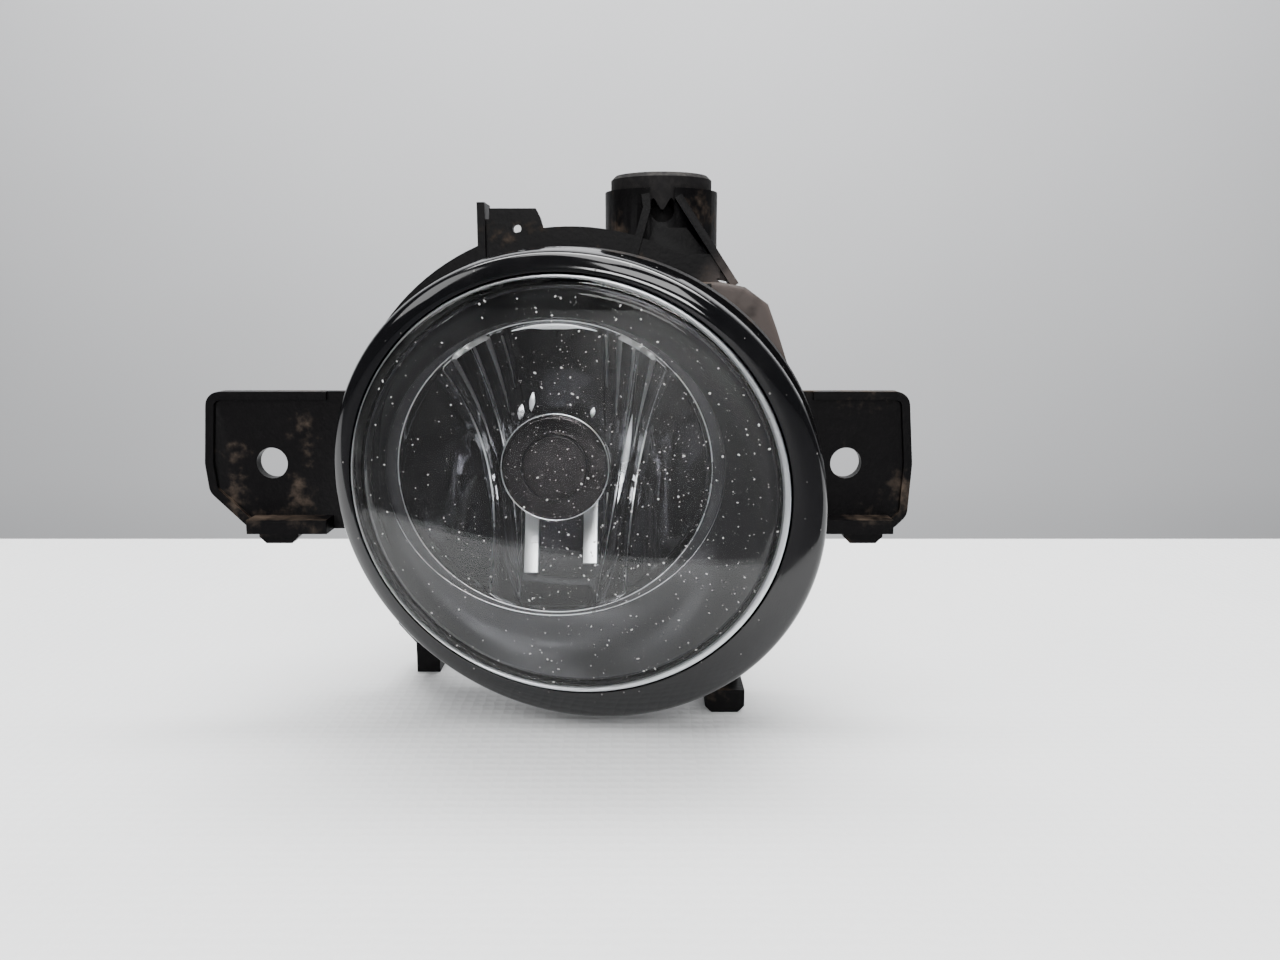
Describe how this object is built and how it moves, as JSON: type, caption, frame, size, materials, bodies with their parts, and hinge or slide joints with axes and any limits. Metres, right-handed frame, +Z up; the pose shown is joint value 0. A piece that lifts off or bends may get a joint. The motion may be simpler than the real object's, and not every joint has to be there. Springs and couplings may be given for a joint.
{
  "type": "automotive fog lamp",
  "caption": "Round fog lamp with a slanted clear glass, bright reflector and capped bulb, tilting in a black carrier with two bolt ears and a screw-driven height adjuster.",
  "frame": {"origin": "midway between the two fixing holes, on the front faces of the ears", "axes": "+X towards the screwdriver guide's side, +Y backwards into the vehicle, +Z up; the glass faces -Y"},
  "size_m": [0.1472, 0.0852, 0.1143],
  "materials": {
    "carrier_plastic": "matte, dusty",
    "housing_plastic": "matte",
    "rim_gloss": "polished black",
    "clear_glass": "clear, lightly dusted",
    "reflector_chrome": "vacuum metallised",
    "trim_satin": "satin metallised",
    "shield_chrome": "bright",
    "seal_rubber": "matte",
    "steel": "zinc plated",
    "terminal": "tinned",
    "bulb_plastic": "matte",
    "capsule_glass": "clear",
    "adjuster_plastic": "matte dark grey"
  },
  "bodies": {
    "carrier": {"carrier_frame": "carrier_plastic", "pivot_pin_right": "steel", "pivot_pin_left": "steel"},
    "lamp": {"rear_housing": "housing_plastic", "lens": "clear_glass", "lens_seal": "seal_rubber", "lens_ring": "rim_gloss", "reflector": "reflector_chrome", "trim_bezel": "trim_satin", "bulb_shield": "shield_chrome", "vent_cap": "seal_rubber", "reflector_screw_1": "steel", "reflector_screw_2": "steel", "reflector_screw_3": "steel"},
    "bulb": {"bulb_base": "bulb_plastic", "bulb_seal": "seal_rubber", "bulb_glass": "capsule_glass", "bulb_filament": "steel", "contact_blade_1": "terminal", "contact_blade_2": "terminal"},
    "adjuster": {"adjuster_wheel": "adjuster_plastic", "adjuster_screw": "steel", "screw_clip": "steel"},
    "nut": {"adjuster_nut": "adjuster_plastic"}
  },
  "joints": [
    {"name": "lamp_tilt", "type": "hinge", "parent": "carrier", "child": "lamp", "pos_m": [0, 0.009, 0], "axis": [1, 0, 0], "range_deg": [-3, 3]},
    {"name": "bulb_twist", "type": "hinge", "parent": "lamp", "child": "bulb", "pos_m": [0, 0.038, 0], "axis": [0, 1, 0], "range_deg": [0, 45]},
    {"name": "adjuster_spin", "type": "hinge", "parent": "carrier", "child": "adjuster", "pos_m": [0.0216, 0.02, 0.05], "axis": [0, 0, 1], "range_deg": [-210, 210]},
    {"name": "nut_lift", "type": "slide", "parent": "carrier", "child": "nut", "axis": [0, 0, 1], "range_m": [-0.0007, 0.0007]}
  ],
  "couplings": [
    {"joint": "adjuster_spin", "follows": "lamp_tilt", "ratio": -69.115},
    {"joint": "nut_lift", "follows": "lamp_tilt", "m_per_rad": 0.011}
  ]
}
